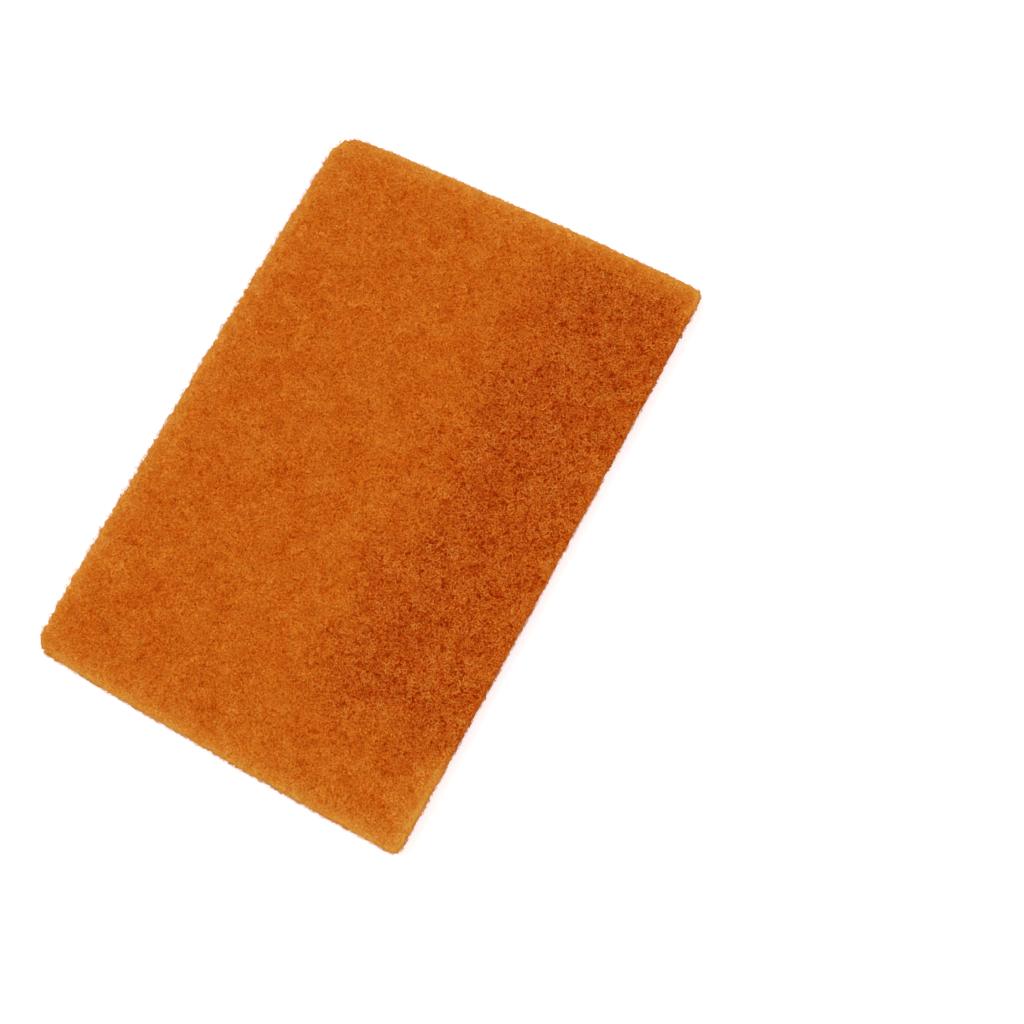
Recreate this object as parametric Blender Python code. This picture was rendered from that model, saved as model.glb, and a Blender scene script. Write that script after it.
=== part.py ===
# Abrasive hand pad: one thick web of crimped fibres, bonded with resin and grit and cut to size.
# Metres, +Z up. The pad lies flat on z = 0, centred on the origin, its long side along Y.
import math

import bmesh
import bpy
from mathutils import Vector, noise

# Driving dimensions
PAD_WIDTH = 0.1550
PAD_LENGTH = 0.2280
PAD_THICKNESS = 0.0070

# The cut is a little wider at the back than at the front: how far each corner is off square
CORNER_FLARE = 0.0004

# How far each cut side bows out at its middle
BACK_BOW = 0.0011
RIGHT_BOW = 0.0002
FRONT_BOW = 0.0007
LEFT_BOW = 0.0007

# Corner radii: the two left corners are worn rounder than the two right ones
BACK_LEFT_RADIUS = 0.0100
BACK_RIGHT_RADIUS = 0.0014
FRONT_RIGHT_RADIUS = 0.0018
FRONT_LEFT_RADIUS = 0.0070

# The cut rim, soft above and below
TOP_ROUND_WIDTH = 0.0012
TOP_ROUND_DROP = 0.0008
BOTTOM_ROUND_WIDTH = 0.0012
BOTTOM_ROUND_RISE = 0.0009
RIM_BULGE = 0.0003
RIM_RAGGEDNESS = 0.0004
RIM_TUFT_SIZE = 0.0045

# The matted top: broad lumps, finer tufts, and open places where the web is thin
LUMP_HEIGHT = 0.00030
LUMP_SIZE = 0.0140
TUFT_HEIGHT = 0.00028
TUFT_SIZE = 0.0052
PIT_DEPTH = 0.00055
PIT_SIZE = 0.0070
PIT_THRESHOLD = 0.12

# The web is more open over most of the right of the pad, beyond these two lines
OPEN_PATCH_LEFT = 0.0300
OPEN_PATCH_FRONT = -0.0800
OPEN_PATCH_FADE = 0.0160

# Spacing of the mesh over the top and round the rim
MESH_PITCH = 0.0032
ROUND_STEPS = 2
WALL_STEPS = 2

# Finish
PAD_COLOUR = (0.565, 0.117, 0.010, 1.0)
PAD_ROUGHNESS = 0.92

LEAST_RADIUS = 0.0002
FEWEST_CELLS = 8


def clear_scene():
    for obj in list(bpy.data.objects):
        bpy.data.objects.remove(obj, do_unlink=True)


def corner_list(inset):
    """Corners going clockwise from the back left: point, radius, and the bow of the side that follows."""
    half_x = PAD_WIDTH / 2 - inset
    half_y = PAD_LENGTH / 2 - inset
    rows = (
        (Vector((-half_x - CORNER_FLARE, half_y)), BACK_LEFT_RADIUS, BACK_BOW),
        (Vector((half_x + CORNER_FLARE, half_y)), BACK_RIGHT_RADIUS, RIGHT_BOW),
        (Vector((half_x - CORNER_FLARE, -half_y)), FRONT_RIGHT_RADIUS, FRONT_BOW),
        (Vector((-half_x + CORNER_FLARE, -half_y)), FRONT_LEFT_RADIUS, LEFT_BOW),
    )
    return [(point, max(radius - inset, LEAST_RADIUS), bow) for point, radius, bow in rows]


def corner_arc(corners, index, angle):
    """Point on the arc of a corner; the angle runs from 0 at its incoming side to 90 degrees."""
    point, radius = corners[index][:2]
    after = (corners[(index + 1) % 4][0] - point).normalized()
    before = (corners[index - 1][0] - point).normalized()
    centre = point + radius * (after + before)
    return centre - after * radius * math.cos(angle) - before * radius * math.sin(angle)


def side_point(corners, index, share):
    """Point on a side, by its share of the way from the middle of one corner's arc to the next's."""
    start, start_radius, bow = corners[index]
    end, end_radius = corners[(index + 1) % 4][:2]
    along = (end - start).normalized()
    outward = Vector((-along.y, along.x))
    half_arc_start = start_radius * math.pi / 4
    half_arc_end = end_radius * math.pi / 4
    straight = (end - start).length - start_radius - end_radius
    travelled = share * (half_arc_start + straight + half_arc_end)
    if travelled < half_arc_start:
        return corner_arc(corners, index, math.pi / 4 + travelled / start_radius)
    if travelled > half_arc_start + straight:
        past = travelled - half_arc_start - straight
        return corner_arc(corners, (index + 1) % 4, past / end_radius)
    part = (travelled - half_arc_start) / straight
    swell = bow * (1 - (2 * part - 1) ** 2)
    return start + along * (start_radius + part * straight) + outward * swell


def rim_point(corners, u, v):
    """Point of the outline for a spot (u, v) on the border of the unit square."""
    if v >= 1:
        return side_point(corners, 0, u)
    if u >= 1:
        return side_point(corners, 1, 1 - v)
    if v <= 0:
        return side_point(corners, 2, 1 - u)
    return side_point(corners, 3, v)


def face_point(corners, u, v):
    """Point inside the outline, blended from the four sides that bound it."""
    back = rim_point(corners, u, 1)
    front = side_point(corners, 2, 1 - u)
    left = side_point(corners, 3, v)
    right = side_point(corners, 1, 1 - v)
    front_corners = side_point(corners, 2, 1) * (1 - u) + side_point(corners, 2, 0) * u
    back_corners = side_point(corners, 0, 0) * (1 - u) + side_point(corners, 0, 1) * u
    lengthways = (front - front_corners) * (1 - v) + (back - back_corners) * v
    return left * (1 - u) + right * u + lengthways


def ramp(distance):
    """Rises smoothly from 0 to 1 over the fade of the open patch."""
    share = min(1.0, max(0.0, 0.5 + distance / OPEN_PATCH_FADE))
    return share * share * (3 - 2 * share)


def openness(x, y):
    """From 0 to 1: how open the web is at a point."""
    return ramp(x - OPEN_PATCH_LEFT) * ramp(y - OPEN_PATCH_FRONT)


def relief(x, y):
    """Height of the matted surface over its mean level."""
    lump = noise.noise(Vector((x, y, 0)) / LUMP_SIZE)
    tuft = noise.noise(Vector((x, y, LUMP_SIZE)) / TUFT_SIZE)
    hollow = noise.noise(Vector((x, y, -LUMP_SIZE)) / PIT_SIZE) - PIT_THRESHOLD
    pit = PIT_DEPTH * max(0.0, hollow) * (1 + openness(x, y))
    return LUMP_HEIGHT * lump + TUFT_HEIGHT * tuft - pit


def raggedness(x, y, z):
    """How far the cut rim stands out of its outline at a point."""
    return RIM_RAGGEDNESS * noise.noise(Vector((x, y, z)) / RIM_TUFT_SIZE)


def rim_rows():
    """Rows from the top face down to the foot, as inset from the outline and height."""
    wall_top = PAD_THICKNESS - TOP_ROUND_DROP
    rows = []
    for step in range(1, ROUND_STEPS):
        angle = math.pi / 2 * step / ROUND_STEPS
        inset = TOP_ROUND_WIDTH * (1 - math.sin(angle))
        rows.append((inset, PAD_THICKNESS - TOP_ROUND_DROP * (1 - math.cos(angle))))
    for step in range(WALL_STEPS + 1):
        share = step / WALL_STEPS
        height = wall_top + (BOTTOM_ROUND_RISE - wall_top) * share
        rows.append((-RIM_BULGE * math.sin(math.pi * share), height))
    for step in range(1, ROUND_STEPS + 1):
        angle = math.pi / 2 * step / ROUND_STEPS
        inset = BOTTOM_ROUND_WIDTH * (1 - math.cos(angle))
        rows.append((inset, BOTTOM_ROUND_RISE * (1 - math.sin(angle))))
    return rows


def rim_vertex(inset, height, u, v):
    """Place of a rim vertex: on its row, stood out or sunk in by the ragged cut."""
    plain = rim_point(corner_list(inset), u, v)
    share = height / PAD_THICKNESS
    stand = math.sin(math.pi * share) * raggedness(plain.x, plain.y, height)
    place = rim_point(corner_list(inset - stand), u, v)
    return (place.x, place.y, height + share * relief(place.x, place.y))


def build_pad():
    mesh = bpy.data.meshes.new("hand_pad")
    bm = bmesh.new()
    columns = max(FEWEST_CELLS, round(PAD_WIDTH / MESH_PITCH))
    lines = max(FEWEST_CELLS, round(PAD_LENGTH / MESH_PITCH))
    bmesh.ops.create_grid(bm, x_segments=columns, y_segments=lines, size=0.5)
    spot_u = bm.verts.layers.float.new("u")
    spot_v = bm.verts.layers.float.new("v")
    top_outline = corner_list(TOP_ROUND_WIDTH)
    for vert in bm.verts:
        u = min(1.0, max(0.0, round(vert.co.x + 0.5, 6)))
        v = min(1.0, max(0.0, round(vert.co.y + 0.5, 6)))
        vert[spot_u] = u
        vert[spot_v] = v
        place = face_point(top_outline, u, v)
        vert.co = (place.x, place.y, PAD_THICKNESS + relief(place.x, place.y))

    border = [edge for edge in bm.edges if edge.is_boundary]
    for inset, height in rim_rows():
        grown = bmesh.ops.extrude_edge_only(bm, edges=border)["geom"]
        for vert in (item for item in grown if isinstance(item, bmesh.types.BMVert)):
            vert.co = rim_vertex(inset, height, vert[spot_u], vert[spot_v])
        border = [item for item in grown if isinstance(item, bmesh.types.BMEdge)]

    # the flat foot is a fan of triangles round one middle point
    foot = bmesh.ops.edgeloop_fill(bm, edges=border)["faces"]
    bmesh.ops.poke(bm, faces=foot)
    bmesh.ops.recalc_face_normals(bm, faces=bm.faces)

    # the bows and tufts are uneven, so the finished web is centred on the origin
    xs = [vert.co.x for vert in bm.verts]
    ys = [vert.co.y for vert in bm.verts]
    shift = Vector(((min(xs) + max(xs)) / 2, (min(ys) + max(ys)) / 2, 0))
    bmesh.ops.translate(bm, verts=bm.verts, vec=-shift)
    bm.to_mesh(mesh)
    bm.free()
    mesh.shade_smooth()
    return mesh


def pad_material():
    material = bpy.data.materials.new("orange_web")
    material.use_nodes = True
    shader = material.node_tree.nodes["Principled BSDF"]
    shader.inputs["Base Color"].default_value = PAD_COLOUR
    shader.inputs["Roughness"].default_value = PAD_ROUGHNESS
    shader.inputs["Metallic"].default_value = 0.0
    material.diffuse_color = PAD_COLOUR
    return material


def main():
    clear_scene()
    mesh = build_pad()
    mesh.materials.append(pad_material())
    pad = bpy.data.objects.new("hand_pad", mesh)
    bpy.context.scene.collection.objects.link(pad)


main()
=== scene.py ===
# Abrasive hand pad: a matted orange fibre web, with crimped fibres over its faces and a fuzzy cut rim.
import math

import bmesh
import bpy
import numpy as np
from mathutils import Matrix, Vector, kdtree, noise


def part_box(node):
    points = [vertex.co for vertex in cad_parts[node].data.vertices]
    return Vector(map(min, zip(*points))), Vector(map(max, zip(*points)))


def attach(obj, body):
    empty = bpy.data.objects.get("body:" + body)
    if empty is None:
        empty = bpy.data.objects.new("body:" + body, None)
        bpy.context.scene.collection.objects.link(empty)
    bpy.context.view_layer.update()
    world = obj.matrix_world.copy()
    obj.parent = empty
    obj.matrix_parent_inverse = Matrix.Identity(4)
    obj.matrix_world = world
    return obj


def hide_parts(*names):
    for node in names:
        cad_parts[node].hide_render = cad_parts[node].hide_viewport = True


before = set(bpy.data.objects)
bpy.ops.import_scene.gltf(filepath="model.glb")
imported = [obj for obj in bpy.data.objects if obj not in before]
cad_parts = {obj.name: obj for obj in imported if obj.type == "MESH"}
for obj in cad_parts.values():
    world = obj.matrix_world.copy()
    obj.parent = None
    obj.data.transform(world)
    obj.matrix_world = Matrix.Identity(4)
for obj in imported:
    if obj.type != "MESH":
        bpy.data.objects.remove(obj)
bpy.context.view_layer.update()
padLow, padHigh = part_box("hand_pad")
print("frame loaded, pad box in mm:", [round(value * 1000, 1) for value in (*padLow, *padHigh)])


# Helpers for node trees

def addNode(tree, kind, values=None, **settings):
    # values fills inputs by name or place; an output socket given there is linked
    node = tree.nodes.new(kind)
    for name, setting in settings.items():
        setattr(node, name, setting)
    for key, value in (values or {}).items():
        if isinstance(value, bpy.types.NodeSocket):
            tree.links.new(value, node.inputs[key])
        else:
            node.inputs[key].default_value = value
    return node


def maths(tree, operation, *values):
    return addNode(tree, "ShaderNodeMath", dict(enumerate(values)), operation=operation).outputs[0]


def vectorMaths(tree, operation, *values):
    node = addNode(tree, "ShaderNodeVectorMath", dict(enumerate(values)), operation=operation)
    return node.outputs[0]


def scaled(tree, vector, factor):
    inputs = {"Vector": vector, "Scale": factor}
    return addNode(tree, "ShaderNodeVectorMath", inputs, operation="SCALE").outputs[0]


def spread(tree, value, low, high, newLow=0.0, newHigh=1.0):
    inputs = {"Value": value, "From Min": low, "From Max": high, "To Min": newLow, "To Max": newHigh}
    return addNode(tree, "ShaderNodeMapRange", inputs).outputs["Result"]


def smoothStep(values, low, high):
    share = np.clip((values - low) / (high - low), 0, 1)
    return share * share * (3 - 2 * share)


def writeAttribute(mesh, name, values):
    attribute = mesh.attributes.new(name, "FLOAT", "POINT")
    attribute.data.foreach_set("value", values.astype(np.float32))


def addObject(name, mesh):
    piece = bpy.data.objects.new(name, mesh)
    bpy.context.scene.collection.objects.link(piece)
    return piece


def bakedMesh(piece):
    # the evaluated result as a plain mesh, with the modifiers gone
    graph = bpy.context.evaluated_depsgraph_get()
    mesh = bpy.data.meshes.new_from_object(piece.evaluated_get(graph))
    piece.modifiers.clear()
    piece.data = mesh
    return piece


# Where a painted shade band darkens the pad and its pores are cut deeper, as on the right of the pad beyond
# these two lines, in metres
paintedShadeBand = {
    "left": 0.025,
    "front": -0.080,
    "fade": 0.036,
    "waver": 0.010,
    "waverSize": 0.020,
    "mottle": 0.45,
    "mottleSize": 0.0062,
    "backKeep": 0.020,
    "rimKeep": 0.0035,
    "rimKeepShare": 0.35,
    # the painted rim light is mostly taken out inside the band
    "rimGlowLoss": 0.85,
}

# The web itself, under the loose fibres
webSizes = {
    "voxel": 0.0010,
    "faceInset": 0.00035,
    "rimInset": 0.00020,
    "rimReach": 0.0022,
    "clumpHeight": 0.00022,
    "clumpSize": 0.0055,
    "poreDepth": 0.00050,
    # pores are cut deeper inside the painted shade band
    "bandPoreDepth": 0.00110,
    "poreSize": 0.0017,
    "poreThreshold": 0.08,
    "rimRagged": 0.0003,
    "leftRagged": 0.0009,
    "leftInset": 0.0003,
    "leftFrom": 0.066,
    "rimTuftSize": 0.0019,
    # from here to wallTop: the width and reach of the painted rim light, its share on the cut side, and
    # where it fades
    "rimGlowWidth": 0.0035,
    "rimGlowReach": 0.0120,
    "rimGlowReachShare": 0.22,
    "rimGlowOnWall": 0.35,
    "wallFoot": 0.0020,
    "wallTop": 0.0062,
    "lowest": 0.0003,
    "sideSlope": 0.35,
}


def shadeBandMask(points, distance):
    # painted shade: the band's patch with its soft border, then the same patch mottled and held back at the
    # rim
    sizes = paintedShadeBand
    x, y = points[:, 0], points[:, 1]
    flat = [Vector((across, along, 0)) for across, along in zip(x, y)]
    waver = sizes["waver"] * np.array([noise.noise(place / sizes["waverSize"]) for place in flat])
    half = sizes["fade"] / 2
    patch = smoothStep(x + waver - sizes["left"], -half, half)
    patch *= smoothStep(y - waver - sizes["front"], -half, half)
    patch *= smoothStep(padHigh.y - y, 0.1 * sizes["backKeep"], sizes["backKeep"])
    away = Vector((0, 0, 9))
    spots = np.array([noise.noise(place / sizes["mottleSize"] + away) for place in flat])
    mottled = patch * np.clip(0.90 + sizes["mottle"] * spots, 0.3, 1.4)
    mottled *= 1 - sizes["rimKeepShare"] * np.exp(-distance / sizes["rimKeep"])
    return patch, mottled


def remeshedPad():
    # an even mesh over the pad's solid, whose own triangles are merged first
    solid = bmesh.new()
    solid.from_mesh(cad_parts["hand_pad"].data)
    bmesh.ops.remove_doubles(solid, verts=solid.verts, dist=0.00001)
    mesh = bpy.data.meshes.new("padWeb")
    solid.to_mesh(mesh)
    solid.free()
    web = addObject("padWeb", mesh)
    remesh = web.modifiers.new("remesh", "REMESH")
    remesh.mode = "VOXEL"
    remesh.voxel_size = webSizes["voxel"]
    return bakedMesh(web)


def rimDistances(points, normals):
    # how far each point lies from the cut side, seen from above
    side = np.flatnonzero(np.abs(normals[:, 2]) < webSizes["sideSlope"])
    tree = kdtree.KDTree(len(side))
    for index in side:
        tree.insert((points[index, 0], points[index, 1], 0), int(index))
    tree.balance()
    return np.array([tree.find((x, y, 0))[2] for x, y in points[:, :2]])


def webRelief(x, y, z, shadeHere):
    sizes = webSizes
    place = Vector((x, y, z))
    clump = sizes["clumpHeight"] * noise.noise(place / sizes["clumpSize"])
    hollow = noise.noise(place / sizes["poreSize"] + Vector((7, 3, 1))) - sizes["poreThreshold"]
    depth = sizes["poreDepth"] + (sizes["bandPoreDepth"] - sizes["poreDepth"]) * shadeHere
    return clump - depth * max(0.0, hollow)


def layBakeMap(mesh):
    # top, underside and the four cut sides laid out apart on one map
    count = len(mesh.loops)
    corner = np.empty(count, np.int32)
    mesh.loops.foreach_get("vertex_index", corner)
    places = np.empty(len(mesh.vertices) * 3, np.float32)
    mesh.vertices.foreach_get("co", places)
    places = places.reshape(-1, 3)[corner]
    faceNormals = np.empty(len(mesh.polygons) * 3, np.float32)
    mesh.polygons.foreach_get("normal", faceNormals)
    totals = np.empty(len(mesh.polygons), np.int32)
    mesh.polygons.foreach_get("loop_total", totals)
    normals = np.repeat(faceNormals.reshape(-1, 3), totals, axis=0)
    scale = 0.48 / (padHigh.x - padLow.x)
    across = (places[:, 0] - padLow.x) * scale
    along = (places[:, 1] - padLow.y) * scale
    up = (places[:, 2] - padLow.z) * scale
    strip = 0.04
    base = (padHigh.y - padLow.y) * scale + 2 * strip / 4
    uv = np.stack([across, along], 1)
    flat = np.abs(normals[:, 2]) > 0.6
    uv[flat & (normals[:, 2] < 0)] += (0.51, 0)
    alongX = ~flat & (np.abs(normals[:, 1]) >= np.abs(normals[:, 0]))
    alongY = ~flat & ~alongX
    uv[alongX] = np.stack([across, base + up], 1)[alongX]
    uv[alongY] = np.stack([along, base + strip + up], 1)[alongY]
    uv[alongX & (normals[:, 1] < 0)] += (0.51, 0)
    uv[alongY & (normals[:, 0] < 0)] += (0, strip)
    layer = mesh.uv_layers.new(name="OFBake")
    layer.data.foreach_set("uv", uv.astype(np.float32).ravel())


def makeWeb():
    sizes = webSizes
    web = remeshedPad()
    mesh = web.data
    count = len(mesh.vertices)
    points = np.empty(count * 3, np.float32)
    mesh.vertices.foreach_get("co", points)
    points = points.reshape(-1, 3).astype(float)
    normals = np.empty(count * 3, np.float32)
    mesh.vertices.foreach_get("normal", normals)
    normals = normals.reshape(-1, 3).astype(float)

    distance = rimDistances(points, normals)
    patch, shadeHere = shadeBandMask(points, distance)
    relief = np.array([webRelief(*place, share) for place, share in zip(points, shadeHere)])
    tuftSize = sizes["rimTuftSize"]
    ragged = np.array([noise.noise(Vector(place) / tuftSize) for place in points])
    onLeft = points[:, 0] < -sizes["leftFrom"]
    ragged *= sizes["rimRagged"] + sizes["leftRagged"] * onLeft
    ragged -= sizes["leftInset"] * onLeft
    atRim = 1 - smoothStep(distance, 0, sizes["rimReach"])
    sunk = sizes["faceInset"] + (sizes["rimInset"] - sizes["faceInset"]) * atRim
    move = -sunk + relief * (1 - 0.5 * atRim) + ragged * atRim
    points += normals * move[:, None]
    points[:, 2] = np.maximum(points[:, 2], sizes["lowest"])
    mesh.vertices.foreach_set("co", points.astype(np.float32).ravel())

    # painted rim light: a golden glow, as of light through the thin cut rim, strongest at the top edge and
    # weak further down the cut side, mostly left out in the painted shade band
    upper = smoothStep(points[:, 2], sizes["wallFoot"], sizes["wallTop"])
    narrow = np.exp(-distance / sizes["rimGlowWidth"])
    broad = np.exp(-distance / sizes["rimGlowReach"])
    rimGlow = (narrow + (broad - narrow) * sizes["rimGlowReachShare"]) * (1 - paintedShadeBand["rimGlowLoss"] * patch)
    writeAttribute(mesh, "rim", rimGlow * (sizes["rimGlowOnWall"] + (1 - sizes["rimGlowOnWall"]) * upper))
    # the painted shade band, as a mask for the finishes and the fibres
    writeAttribute(mesh, "open", shadeHere)
    writeAttribute(mesh, "topShare", smoothStep(normals[:, 2], 0.3, 0.8))
    writeAttribute(mesh, "backShare", smoothStep(-normals[:, 2], 0.3, 0.8))
    sideShare = 1 - smoothStep(np.abs(normals[:, 2]), 0.3, 0.8)
    writeAttribute(mesh, "sideShare", sideShare)
    writeAttribute(mesh, "leftShare", sideShare * onLeft * upper)
    mesh.update()
    mesh.shade_smooth()
    layBakeMap(mesh)
    print("web made,", len(mesh.polygons), "faces")
    return web


# Crimped fibres over a surface: a Geometry Nodes tree

def fibreTree():
    tree = bpy.data.node_groups.new("crimpedFibres", "GeometryNodeTree")
    face = tree.interface
    face.new_socket("Geometry", in_out="INPUT", socket_type="NodeSocketGeometry")
    face.new_socket("Web", in_out="INPUT", socket_type="NodeSocketObject")
    face.new_socket("Share", in_out="INPUT", socket_type="NodeSocketString")
    for name in (
        "Density", "Turn", "Curl Least", "Curl Most", "Radius", "Wander", "Wander Size",
        "Depth", "Lift", "Arch", "End Sink", "Lowest",
    ):
        face.new_socket(name, in_out="INPUT", socket_type="NodeSocketFloat")
    for name in ("Steps", "Seed", "Cells"):
        face.new_socket(name, in_out="INPUT", socket_type="NodeSocketInt")
    face.new_socket("Material", in_out="INPUT", socket_type="NodeSocketMaterial")
    face.new_socket("Geometry", in_out="OUTPUT", socket_type="NodeSocketGeometry")

    given = addNode(tree, "NodeGroupInput").outputs
    web = addNode(
        tree, "GeometryNodeObjectInfo", {"Object": given["Web"]}, transform_space="ORIGINAL"
    ).outputs["Geometry"]
    share = addNode(
        tree, "GeometryNodeInputNamedAttribute", {"Name": given["Share"]}, data_type="FLOAT"
    ).outputs["Attribute"]
    density = maths(tree, "MULTIPLY", share, given["Density"])
    scatter = addNode(
        tree,
        "GeometryNodeDistributePointsOnFaces",
        {"Mesh": given["Geometry"], "Density": density, "Seed": given["Seed"]},
        distribute_method="RANDOM",
    )

    def chance(offset, low=0.0, high=1.0):
        seed = maths(tree, "ADD", given["Seed"], offset)
        inputs = {"Min": low, "Max": high, "Seed": seed}
        node = addNode(tree, "FunctionNodeRandomValue", data_type="FLOAT")
        for name, value in inputs.items():
            socket = next(s for s in node.inputs if s.name == name and s.enabled)
            if isinstance(value, bpy.types.NodeSocket):
                tree.links.new(value, socket)
            else:
                socket.default_value = value
        return node.outputs["Value"] if node.outputs["Value"].enabled else node.outputs[1]

    # what each fibre keeps: its place, its frame and its own random numbers
    alongAxis = addNode(
        tree, "FunctionNodeRotateVector",
        {"Vector": (1, 0, 0), "Rotation": scatter.outputs["Rotation"]},
    ).outputs[0]
    keep = addNode(tree, "GeometryNodeCaptureAttribute", domain="POINT")
    kept = {
        "place": ("VECTOR", addNode(tree, "GeometryNodeInputPosition").outputs[0]),
        "up": ("VECTOR", scatter.outputs["Normal"]),
        "axis": ("VECTOR", alongAxis),
        "turn": ("FLOAT", chance(11, 0.0, 2 * math.pi)),
        "bend": ("FLOAT", chance(12)),
        "reach": ("FLOAT", chance(13, 0.55, 1.25)),
        "tone": ("FLOAT", chance(14)),
        "height": ("FLOAT", chance(15)),
        "phase": ("FLOAT", chance(16, 0.0, 2 * math.pi)),
        "number": ("INT", addNode(tree, "GeometryNodeInputIndex").outputs[0]),
    }
    for name, (kind, socket) in kept.items():
        keep.capture_items.new(kind, name)
    for name, (kind, socket) in kept.items():
        tree.links.new(socket, keep.inputs[name])
    tree.links.new(scatter.outputs["Points"], keep.inputs["Geometry"])
    own = keep.outputs

    line = addNode(tree, "GeometryNodeCurvePrimitiveLine", {"End": (0.001, 0, 0)}).outputs["Curve"]
    divided = addNode(
        tree, "GeometryNodeResampleCurve", {"Curve": line, "Count": given["Steps"]}
    ).outputs["Curve"]
    copies = addNode(
        tree, "GeometryNodeInstanceOnPoints", {"Points": own["Geometry"], "Instance": divided}
    ).outputs["Instances"]
    strands = addNode(tree, "GeometryNodeRealizeInstances", {"Geometry": copies}).outputs["Geometry"]

    # a curl in the plane of the surface, then a wander of its own
    factor = addNode(tree, "GeometryNodeSplineParameter").outputs["Factor"]
    centred = maths(tree, "SUBTRACT", factor, 0.5)
    curl = spread(tree, own["bend"], 0.0, 1.0, given["Curl Least"], given["Curl Most"])
    angle = maths(tree, "MULTIPLY", centred, maths(tree, "MULTIPLY", own["reach"], given["Turn"]))
    ahead = maths(tree, "MULTIPLY", curl, maths(tree, "SINE", angle))
    aside = maths(tree, "MULTIPLY", curl, maths(tree, "SUBTRACT", 1.0, maths(tree, "COSINE", angle)))
    spin = addNode(
        tree, "ShaderNodeVectorRotate",
        {"Vector": own["axis"], "Axis": own["up"], "Angle": own["turn"]},
        rotation_type="AXIS_ANGLE",
    ).outputs[0]
    cross = vectorMaths(tree, "CROSS_PRODUCT", own["up"], spin)
    inPlane = vectorMaths(tree, "ADD", scaled(tree, spin, ahead), scaled(tree, cross, aside))
    curled = vectorMaths(tree, "ADD", own["place"], inPlane)
    noisePlace = addNode(tree, "ShaderNodeCombineXYZ", {"X": own["phase"], "Y": own["turn"]}).outputs[0]
    noisePlace = vectorMaths(
        tree, "ADD", vectorMaths(tree, "DIVIDE", curled, given["Wander Size"]), noisePlace
    )
    field = addNode(
        tree, "ShaderNodeTexNoise", {"Vector": noisePlace, "Scale": 1.0, "Detail": 1.0}
    ).outputs["Color"]
    wander = scaled(tree, vectorMaths(tree, "SUBTRACT", field, (0.5, 0.5, 0.5)), given["Wander"])
    wandered = vectorMaths(tree, "ADD", curled, wander)

    # drawn down on to the web, weaving a little under and over its surface
    nearest = addNode(
        tree, "GeometryNodeProximity", {"Geometry": web, "Sample Position": wandered},
        target_element="FACES",
    ).outputs["Position"]

    def fromWeb(kind, field):
        node = addNode(tree, "GeometryNodeSampleNearestSurface", {"Mesh": web}, data_type=kind)
        tree.links.new(field, node.inputs["Value"])
        tree.links.new(wandered, node.inputs["Sample Position"])
        return node.outputs["Value"]

    def webAttribute(name):
        node = addNode(tree, "GeometryNodeInputNamedAttribute", {"Name": name}, data_type="FLOAT")
        return fromWeb("FLOAT", node.outputs["Attribute"])

    outward = fromWeb("FLOAT_VECTOR", addNode(tree, "GeometryNodeInputNormal").outputs[0])
    outward = vectorMaths(tree, "NORMALIZE", outward)
    weave = maths(tree, "SINE", maths(tree, "ADD", maths(tree, "MULTIPLY", factor, 9.0), own["phase"]))
    toEnds = maths(tree, "POWER", maths(tree, "ABSOLUTE", maths(tree, "MULTIPLY", centred, 2.0)), 4.0)
    rise = maths(tree, "SINE", maths(tree, "MULTIPLY", factor, math.pi))
    arch = maths(tree, "MULTIPLY", rise, given["Arch"])
    height = maths(tree, "MULTIPLY", own["height"], maths(tree, "ADD", given["Lift"], arch))
    height = maths(tree, "ADD", height, maths(tree, "MULTIPLY", weave, given["Depth"]))
    height = maths(tree, "SUBTRACT", height, maths(tree, "MULTIPLY", toEnds, given["End Sink"]))
    seated = vectorMaths(tree, "ADD", nearest, scaled(tree, outward, height))
    parts = addNode(tree, "ShaderNodeSeparateXYZ", {"Vector": seated}).outputs
    level = maths(tree, "MAXIMUM", parts["Z"], given["Lowest"])
    seated = addNode(
        tree, "ShaderNodeCombineXYZ", {"X": parts["X"], "Y": parts["Y"], "Z": level}
    ).outputs[0]

    # tone, the painted rim light and the painted shade band stay on the mesh for the finish to read
    stored = strands
    for name, value in (("tone", own["tone"]), ("rim", webAttribute("rim")), ("open", webAttribute("open"))):
        stored = addNode(
            tree, "GeometryNodeStoreNamedAttribute",
            {"Geometry": stored, "Name": name, "Value": value}, data_type="FLOAT", domain="POINT",
        ).outputs["Geometry"]
    placed = addNode(
        tree, "GeometryNodeSetPosition", {"Geometry": stored, "Position": seated}
    ).outputs["Geometry"]
    taper = maths(tree, "SUBTRACT", 1.0, maths(tree, "MULTIPLY", toEnds, 0.45))
    girth = maths(tree, "MULTIPLY", given["Radius"], spread(tree, own["bend"], 0.0, 1.0, 0.75, 1.2))
    girth = maths(tree, "MULTIPLY", girth, taper)

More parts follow.
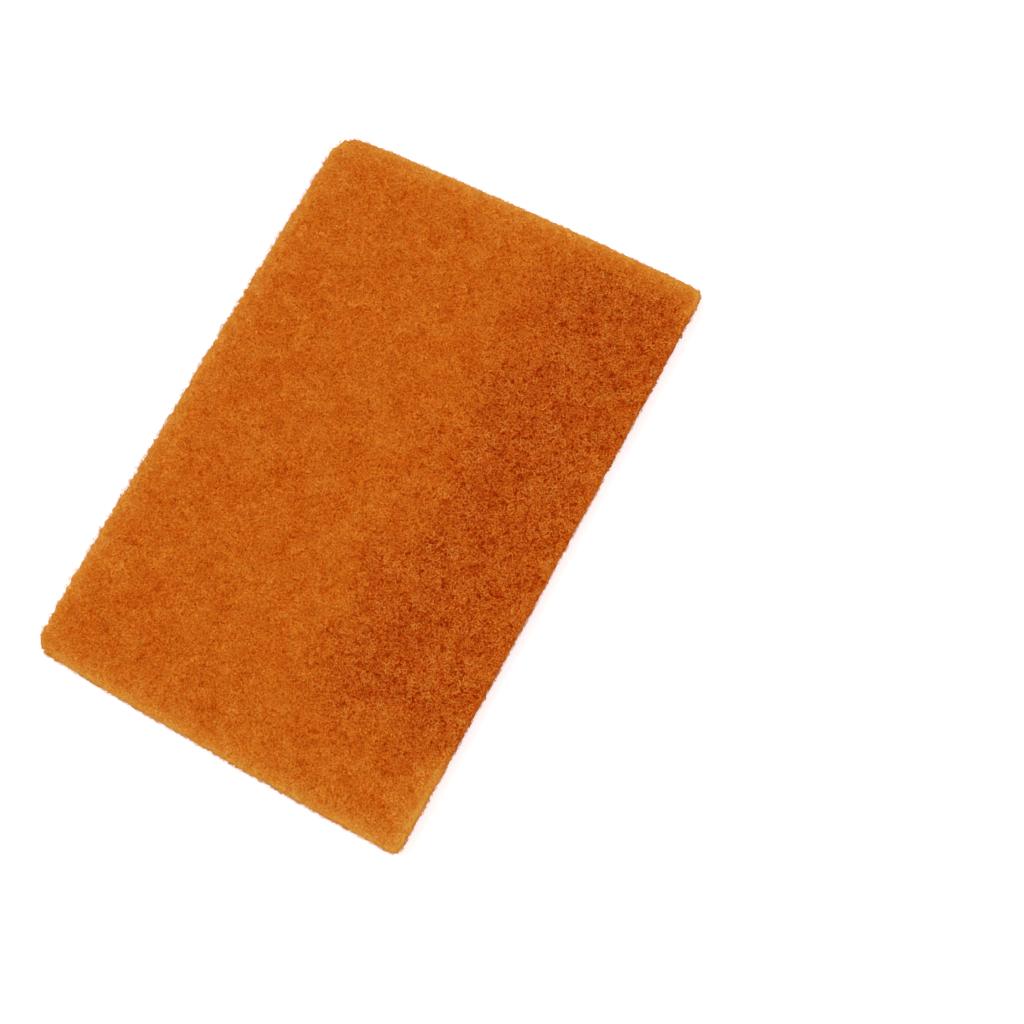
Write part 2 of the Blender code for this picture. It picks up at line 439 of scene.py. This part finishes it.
    # the bake map gives each fibre a cell of its own
    alongKeep = addNode(tree, "GeometryNodeCaptureAttribute", domain="POINT")
    alongKeep.capture_items.new("FLOAT", "along")
    tree.links.new(placed, alongKeep.inputs["Geometry"])
    tree.links.new(factor, alongKeep.inputs["along"])
    ring = addNode(
        tree, "GeometryNodeCurvePrimitiveCircle", {"Resolution": 3, "Radius": 1.0}
    ).outputs["Curve"]
    roundKeep = addNode(tree, "GeometryNodeCaptureAttribute", domain="POINT")
    roundKeep.capture_items.new("FLOAT", "round")
    tree.links.new(ring, roundKeep.inputs["Geometry"])
    ringFactor = addNode(tree, "GeometryNodeSplineParameter").outputs["Factor"]
    tree.links.new(ringFactor, roundKeep.inputs["round"])
    tubes = addNode(
        tree, "GeometryNodeCurveToMesh",
        {
            "Curve": alongKeep.outputs["Geometry"],
            "Profile Curve": roundKeep.outputs["Geometry"],
            "Scale": girth,
            "Fill Caps": True,
        },
    ).outputs["Mesh"]
    column = maths(tree, "MODULO", own["number"], given["Cells"])
    row = maths(tree, "FLOOR", maths(tree, "DIVIDE", own["number"], given["Cells"]))
    across = maths(tree, "MULTIPLY_ADD", alongKeep.outputs["along"], 0.8, 0.1)
    around = maths(tree, "MULTIPLY_ADD", roundKeep.outputs["round"], 1.2, 0.1)
    mapPlace = addNode(
        tree, "ShaderNodeCombineXYZ",
        {
            "X": maths(tree, "DIVIDE", maths(tree, "ADD", column, across), given["Cells"]),
            "Y": maths(tree, "DIVIDE", maths(tree, "ADD", row, around), given["Cells"]),
        },
    ).outputs[0]
    mapped = addNode(
        tree, "GeometryNodeStoreNamedAttribute",
        {"Geometry": tubes, "Name": "OFBake", "Value": mapPlace}, data_type="FLOAT2", domain="CORNER",
    ).outputs["Geometry"]
    whole = addNode(tree, "GeometryNodeRealizeInstances", {"Geometry": mapped}).outputs["Geometry"]
    finished = addNode(
        tree, "GeometryNodeSetMaterial", {"Geometry": whole, "Material": given["Material"]}
    ).outputs["Geometry"]
    addNode(tree, "NodeGroupOutput", {"Geometry": finished})
    return tree


# Fibre coats: what grows where. Lengths in metres, turn in radians, density in fibres per square metre
faceCoat = {
    "Share": "topShare",
    "Density": 106000.0,
    "Turn": 4.0,
    "Curl Least": 0.0004,
    "Curl Most": 0.0012,
    "Radius": 0.000105,
    "Wander": 0.0013,
    "Wander Size": 0.0013,
    "Depth": 0.00012,
    "Lift": 0.00026,
    "Arch": 0.00018,
    "End Sink": 0.00030,
    "Lowest": 0.00018,
    "Steps": 7,
}
backCoat = {**faceCoat, "Share": "backShare", "Density": 60000.0, "Lift": 0.00020, "Arch": 0.0001}
sideCoat = {
    **faceCoat, "Share": "sideShare", "Density": 800000.0, "Curl Least": 0.0003,
    "Curl Most": 0.0010, "Radius": 0.00009, "Lift": 0.0004, "Arch": 0.0003, "Steps": 6,
}
frayCoat = {**sideCoat, "Share": "leftShare", "Density": 1200000.0, "Radius": 0.00007, "Arch": 0.0011}
coats = {
    "faceFibres_1": (faceCoat, 1),
    "faceFibres_2": (faceCoat, 2),
    "faceFibres_3": (faceCoat, 3),
    "faceFibres_4": (faceCoat, 4),
    "backFibres": (backCoat, 5),
    "sideFibres": (sideCoat, 6),
    "leftFray": (frayCoat, 7),
}


def growFibres(name, tree, web, coat, seed, material):
    piece = addObject(name, web.data.copy())
    modifier = piece.modifiers.new("fibres", "NODES")
    modifier.node_group = tree
    values = {**coat, "Web": web, "Seed": seed, "Cells": 64, "Material": material}
    for item in tree.interface.items_tree:
        if item.in_out == "INPUT" and item.name in values:
            modifier[item.identifier] = values[item.name]
    bakedMesh(piece)
    piece.data.shade_smooth()
    print(name, "grown,", len(piece.data.polygons), "faces")
    return piece


# Finishes: the colours, then how each pattern moves a place along them, from painted pore shade to painted
# rim light.
# A pair is for the face and the rim in the painted rim light's finish, and for outside and inside the
# painted shade band in the other two.
# A row of strands is its scale, its width and its shift.
finishColours = {
    # the first stop, dark red, is the colour of the painted shade in pores
    "shadedPore": (0.380, 0.022, 0.0005, 1),
    "deep": (0.640, 0.070, 0.001, 1),
    "mid": (0.775, 0.145, 0.005, 1),
    "bright": (0.850, 0.245, 0.016, 1),
    "tip": (0.910, 0.420, 0.068, 1),
    # the lightest stop, reached mostly under the painted rim light, then the golden colour of the painted
    # rim light
    "edge": (0.950, 0.560, 0.160, 1),
    "rimGlowGold": (0.970, 0.430, 0.048, 1),
    # a pale grey tint, painted light on the strands in the painted shade band
    "paintedGreyLight": (0.700, 0.420, 0.450, 1),
}
# the last scale is that of the painted pore shade
mottleSizes = {"patch": 110.0, "small": 320.0, "shadedPore": 540.0}  # noise scales, per metre
# the painted rim light: its grain, lift, power and golden share; then the share of painted grey light
paintedLightFinish = {"grain": (0.80, 0.62), "rimGlowLift": 0.44, "rimGlowPower": 2.5, "rimGlowGold": 0.62, "paintedGreyLight": 0.014}
webFinish = {
    "strands": (
        (1500.0, 0.075, (0.1, 0.2, 0.3)),
        (1950.0, 0.085, (1.1, 0.7, 0.5)),
        (1150.0, 0.060, (3.1, 0.4, 1.2)),
    ),
    "strandShare": 0.54,
    "depthScale": 1400.0,
    "depthShare": 0.50,
    "contrast": (1.0, 1.55),
    "patches": 0.17,
    # painted pore shade, outside and inside the painted shade band
    "poreShade": (-0.20, -0.50),
    # painted shade band: a lower level inside it
    "open": -0.22,
    "middle": 0.63,
    "level": 0.51,
    "bump": 0.8,
    "bumpDepth": 0.00022,
    "roughness": 0.85,
    "specular": 0.02,
}
fibreFinish = {
    "gritScale": 2500.0,
    "grit": 1.1,
    "contrast": (0.56, 1.0),
    "level": 0.38,
    "patches": 0.20,
    # painted pore shade, outside and inside the painted shade band
    "poreShade": (-0.10, -0.34),
    # painted shade band: a lower level inside it
    "open": -0.05,
    "roughness": 0.70,
    "specular": 0.04,
}


def newMaterial(name):
    material = bpy.data.materials.new(name)
    material.use_nodes = True
    tree = material.node_tree
    tree.nodes.clear()
    shader = addNode(tree, "ShaderNodeBsdfPrincipled")
    addNode(tree, "ShaderNodeOutputMaterial", {"Surface": shader.outputs[0]})
    return material, tree, shader


def ramp(tree, factor, stops):
    node = addNode(tree, "ShaderNodeValToRGB", {"Fac": factor})
    steps = node.color_ramp.elements
    while len(steps) < len(stops):
        steps.new(0.5)
    for step, (place, colour) in zip(steps, stops):
        step.position = place
        step.color = colour
    return node.outputs["Color"]


def mixColour(tree, factor, first, second):
    node = addNode(tree, "ShaderNodeMix", data_type="RGBA")
    for socket, value in ((node.inputs[0], factor), (node.inputs[6], first), (node.inputs[7], second)):
        if isinstance(value, bpy.types.NodeSocket):
            tree.links.new(value, socket)
        else:
            socket.default_value = value
    return node.outputs[2]


def noiseAt(tree, place, scale, detail=2.0, distortion=0.0):
    inputs = {"Vector": place, "Scale": scale, "Detail": detail, "Distortion": distortion}
    return addNode(tree, "ShaderNodeTexNoise", inputs).outputs["Fac"]


def attributeOf(tree, name):
    return addNode(tree, "ShaderNodeAttribute", attribute_name=name).outputs["Fac"]


def strandLines(tree, place, scale, width, shift):
    # thin curling lines, where a noise passes its middle value
    moved = vectorMaths(tree, "ADD", place, shift)
    value = noiseAt(tree, moved, scale, 1.0, 1.2)
    off = maths(tree, "ABSOLUTE", maths(tree, "SUBTRACT", value, 0.5))
    return spread(tree, off, 0.0, width, 1.0, 0.0)


def placeOn(tree):
    return addNode(tree, "ShaderNodeTexCoord").outputs["Object"]


def mottle(tree, place):
    # broad uneven patches, as the resin took unevenly
    broad = noiseAt(tree, place, mottleSizes["patch"], 2.0)
    small = noiseAt(tree, place, mottleSizes["small"], 2.0)
    both = maths(tree, "MULTIPLY_ADD", small, 0.38, maths(tree, "MULTIPLY", broad, 0.62))
    return spread(tree, both, 0.36, 0.64)


def paintedPoreShade(tree, place):
    # painted shade: small dark spots between the strands, where the deep places of the web would lie in
    # shade
    return spread(tree, noiseAt(tree, place, mottleSizes["shadedPore"], 1.5), 0.56, 0.68)


def withPaintedLight(tree, level, shadeHere, stops):
    # through the ramp; painted rim light: the thin rim is drawn lighter and golden, as if light came through
    # it, but keeps its grain
    rim = attributeOf(tree, "rim")
    grain = spread(tree, rim, 0.0, 1.0, *paintedLightFinish["grain"])
    rimGlowLift = maths(tree, "MULTIPLY", rim, paintedLightFinish["rimGlowLift"])
    colour = ramp(tree, maths(tree, "MULTIPLY_ADD", level, grain, rimGlowLift), stops)
    rimGlowMix = maths(tree, "MULTIPLY", maths(tree, "POWER", rim, paintedLightFinish["rimGlowPower"]), paintedLightFinish["rimGlowGold"])
    colour = mixColour(tree, rimGlowMix, colour, finishColours["rimGlowGold"])
    # painted light: a trace of grey light on the strands inside the painted shade band
    strands = spread(tree, level, 0.05, 0.60, 0.0, paintedLightFinish["paintedGreyLight"])
    return mixColour(tree, maths(tree, "MULTIPLY", shadeHere, strands), colour, finishColours["paintedGreyLight"])


def webMaterial():
    material, tree, shader = newMaterial("web")
    finish = webFinish
    place = placeOn(tree)
    first, *others = finish["strands"]
    lines = strandLines(tree, place, *first)
    for strand in others:
        lines = maths(tree, "MAXIMUM", lines, strandLines(tree, place, *strand))
    patches = mottle(tree, place)
    shadeHere = attributeOf(tree, "open")
    depth = spread(tree, noiseAt(tree, place, finish["depthScale"], 2.0), 0.30, 0.64)
    depth = maths(tree, "MULTIPLY", depth, finish["depthShare"])
    level = maths(tree, "MULTIPLY_ADD", lines, finish["strandShare"], depth)
    # more contrast, darker painted pore shade and a lower level inside the painted shade band
    gain = spread(tree, shadeHere, 0.0, 1.0, *finish["contrast"])
    level = maths(tree, "SUBTRACT", level, finish["middle"])
    level = maths(tree, "MULTIPLY_ADD", level, gain, finish["level"])
    level = maths(tree, "MULTIPLY_ADD", patches, finish["patches"], level)
    # painted pore shade, stronger in the painted shade band
    sunk = maths(tree, "MULTIPLY", paintedPoreShade(tree, place), spread(tree, shadeHere, 0.0, 1.0, *finish["poreShade"]))
    level = maths(tree, "ADD", level, sunk)
    level = maths(tree, "MULTIPLY_ADD", shadeHere, finish["open"], level)
    colour = withPaintedLight(
        tree, level, shadeHere,
        [
            (0.02, finishColours["shadedPore"]), (0.24, finishColours["deep"]), (0.44, finishColours["mid"]),
            (0.64, finishColours["bright"]), (0.84, finishColours["tip"]), (1.0, finishColours["edge"]),
        ],
    )
    tree.links.new(colour, shader.inputs["Base Color"])
    inputs = {"Height": lines, "Strength": finish["bump"], "Distance": finish["bumpDepth"]}
    bump = addNode(tree, "ShaderNodeBump", inputs)
    tree.links.new(bump.outputs[0], shader.inputs["Normal"])
    shader.inputs["Roughness"].default_value = finish["roughness"]
    shader.inputs["Specular IOR Level"].default_value = finish["specular"]
    return material


def fibreMaterial():
    material, tree, shader = newMaterial("fibre")
    finish = fibreFinish
    place = placeOn(tree)
    patches = mottle(tree, place)
    grit = noiseAt(tree, place, finish["gritScale"], 1.0)
    shadeHere = attributeOf(tree, "open")
    # painted shade band: more tone contrast and a lower level there
    contrast = spread(tree, shadeHere, 0.0, 1.0, *finish["contrast"])
    level = maths(tree, "MULTIPLY", maths(tree, "SUBTRACT", attributeOf(tree, "tone"), 0.5), contrast)
    level = maths(tree, "ADD", level, finish["level"])
    level = maths(tree, "MULTIPLY_ADD", patches, finish["patches"], level)
    level = maths(tree, "MULTIPLY_ADD", maths(tree, "SUBTRACT", grit, 0.5), finish["grit"], level)
    level = maths(tree, "MULTIPLY_ADD", shadeHere, finish["open"], level)
    # painted pore shade, stronger in the painted shade band
    sunk = maths(tree, "MULTIPLY", paintedPoreShade(tree, place), spread(tree, shadeHere, 0.0, 1.0, *finish["poreShade"]))
    level = maths(tree, "ADD", level, sunk)
    colour = withPaintedLight(
        tree, level, shadeHere,
        [
            (0.0, finishColours["deep"]), (0.24, finishColours["mid"]), (0.53, finishColours["bright"]),
            (0.80, finishColours["tip"]), (1.0, finishColours["edge"]),
        ],
    )
    tree.links.new(colour, shader.inputs["Base Color"])
    shader.inputs["Roughness"].default_value = finish["roughness"]
    shader.inputs["Specular IOR Level"].default_value = finish["specular"]
    return material


# Floor, light and camera

studio = {
    "floorSize": 4.0,
    "floorGrey": (0.80, 0.80, 0.80, 1),
    "glow": (0.40, 0.56),
    "glowFrom": (0.25, 1.1),
    "worldStrength": 0.62,
    "keyPlace": (-0.75, 0.0, 0.95),
    "keySize": 0.70,
    "keyPower": 5.5,
    "fillPlace": (0.85, 0.05, 0.75),
    "fillSize": 0.9,
    "fillPower": 4.5,
}
view = {
    "place": (0.16010, -0.07239, 0.46754),
    "turn": (14.650, 6.587, 28.540),
    "lens": 47.47,
}


def seenDirectly(tree):
    # 1 for what the camera, a gloss or a glass sees, 0 for light on the pad
    path = addNode(tree, "ShaderNodeLightPath").outputs
    seen = maths(tree, "MAXIMUM", path["Is Camera Ray"], path["Is Glossy Ray"])
    return maths(tree, "MAXIMUM", seen, path["Is Transmission Ray"])


def makeFloor():
    mesh = bpy.data.meshes.new("floor")
    plane = bmesh.new()
    bmesh.ops.create_grid(plane, x_segments=1, y_segments=1, size=studio["floorSize"] / 2)
    plane.to_mesh(mesh)
    plane.free()
    floor = addObject("floor", mesh)
    material = bpy.data.materials.new("floorWhite")
    material.use_nodes = True
    tree = material.node_tree
    tree.nodes.clear()
    matt = addNode(tree, "ShaderNodeBsdfDiffuse", {"Color": studio["floorGrey"]})
    # a little more glow far out, where the lamps no longer reach
    place = {"Vector": placeOn(tree)}
    away = addNode(tree, "ShaderNodeVectorMath", place, operation="LENGTH").outputs["Value"]
    strength = spread(tree, away, *studio["glowFrom"], *studio["glow"])
    strength = maths(tree, "MULTIPLY", seenDirectly(tree), strength)
    glow = addNode(tree, "ShaderNodeEmission", {"Strength": strength})
    both = addNode(tree, "ShaderNodeAddShader", {0: matt.outputs[0], 1: glow.outputs[0]})
    addNode(tree, "ShaderNodeOutputMaterial", {"Surface": both.outputs[0]})
    mesh.materials.append(material)


def makeWorld():
    world = bpy.data.worlds.new("paleRoom")
    bpy.context.scene.world = world
    world.use_nodes = True
    tree = world.node_tree
    tree.nodes.clear()
    strength = spread(tree, seenDirectly(tree), 0.0, 1.0, studio["worldStrength"], 1.0)
    glow = addNode(tree, "ShaderNodeBackground", {"Color": (1, 1, 1, 1), "Strength": strength})
    addNode(tree, "ShaderNodeOutputWorld", {"Surface": glow.outputs[0]})


def addLamp(name, place, size, power):
    light = bpy.data.lights.new(name, "AREA")
    light.shape = "DISK"
    light.size = size
    light.energy = power
    lamp = addObject(name, light)
    lamp.location = place
    lamp.rotation_euler = (-Vector(place)).to_track_quat("-Z", "Y").to_euler()


def makeCamera():
    data = bpy.data.cameras.new("camera")
    data.lens = view["lens"]
    data.sensor_width = 36.0
    data.clip_start = 0.01
    camera = addObject("camera", data)
    camera.location = view["place"]
    camera.rotation_euler = [math.radians(angle) for angle in view["turn"]]
    bpy.context.scene.camera = camera


web = makeWeb()
web.data.materials.clear()
web.data.materials.append(webMaterial())
fibre = fibreMaterial()
tree = fibreTree()
fibrePieces = [growFibres(name, tree, web, coat, seed, fibre) for name, (coat, seed) in coats.items()]
fibreTriangles = sum(len(face.vertices) - 2 for piece in fibrePieces for face in piece.data.polygons)
print("fibre triangles in all:", fibreTriangles)

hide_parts("hand_pad")
for piece in [web, *fibrePieces]:
    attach(piece, "root")

makeFloor()
makeWorld()
addLamp("keyLamp", studio["keyPlace"], studio["keySize"], studio["keyPower"])
addLamp("fillLamp", studio["fillPlace"], studio["fillSize"], studio["fillPower"])
makeCamera()
bpy.context.scene.view_settings.view_transform = "Standard"
print("stage set")
